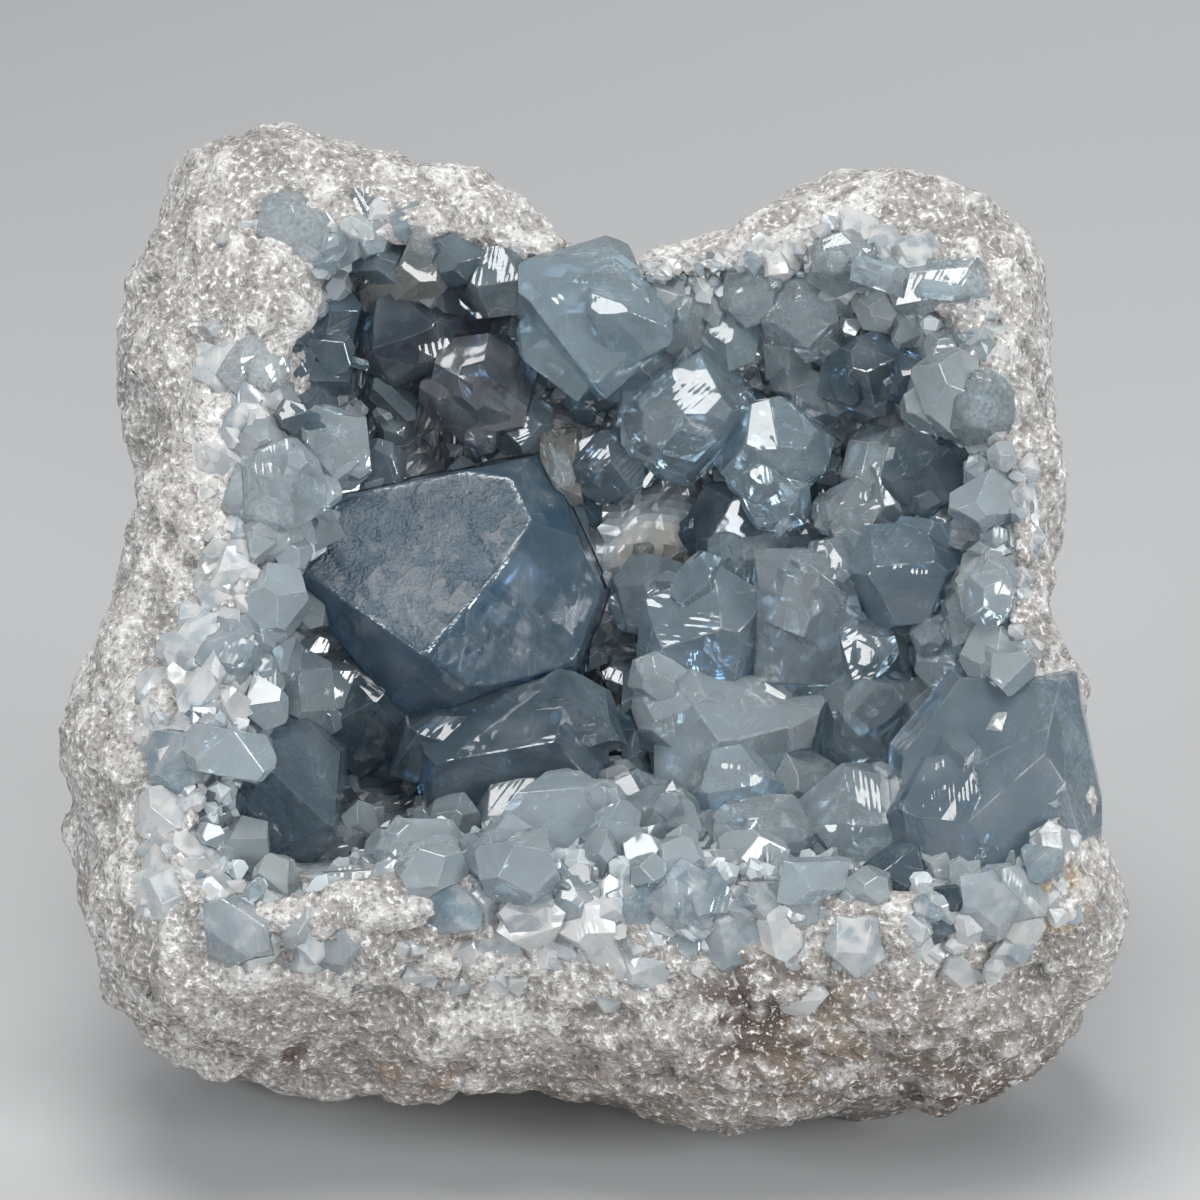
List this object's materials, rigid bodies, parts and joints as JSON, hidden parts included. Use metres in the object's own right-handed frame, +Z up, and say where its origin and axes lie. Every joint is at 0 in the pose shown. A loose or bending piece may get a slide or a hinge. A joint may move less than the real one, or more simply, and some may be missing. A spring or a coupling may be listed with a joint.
{
  "type": "celestite geode",
  "caption": "Celestite geode broken open at the front: pale grainy host rock with a hollow lined by clear blue-grey crystals, resting on a small flat spot.",
  "frame": {"origin": "centre of the bounding box's footprint, on the surface that the geode rests on", "axes": "+X to the right across the hollow, +Y to the closed back, +Z up; the hollow opens to -Y and is tipped up by 20 degrees"},
  "size_m": [0.197, 0.1428, 0.1777],
  "materials": {
    "host_rock": "rough grainy broken limestone, pale grey-white with brown stains",
    "celestite": "vitreous blue-grey crystal, clear to milky, with frosted and striated faces"
  },
  "bodies": {
    "root": {"matrix": "host_rock", "celestite_crust": "celestite"}
  },
  "joints": []
}
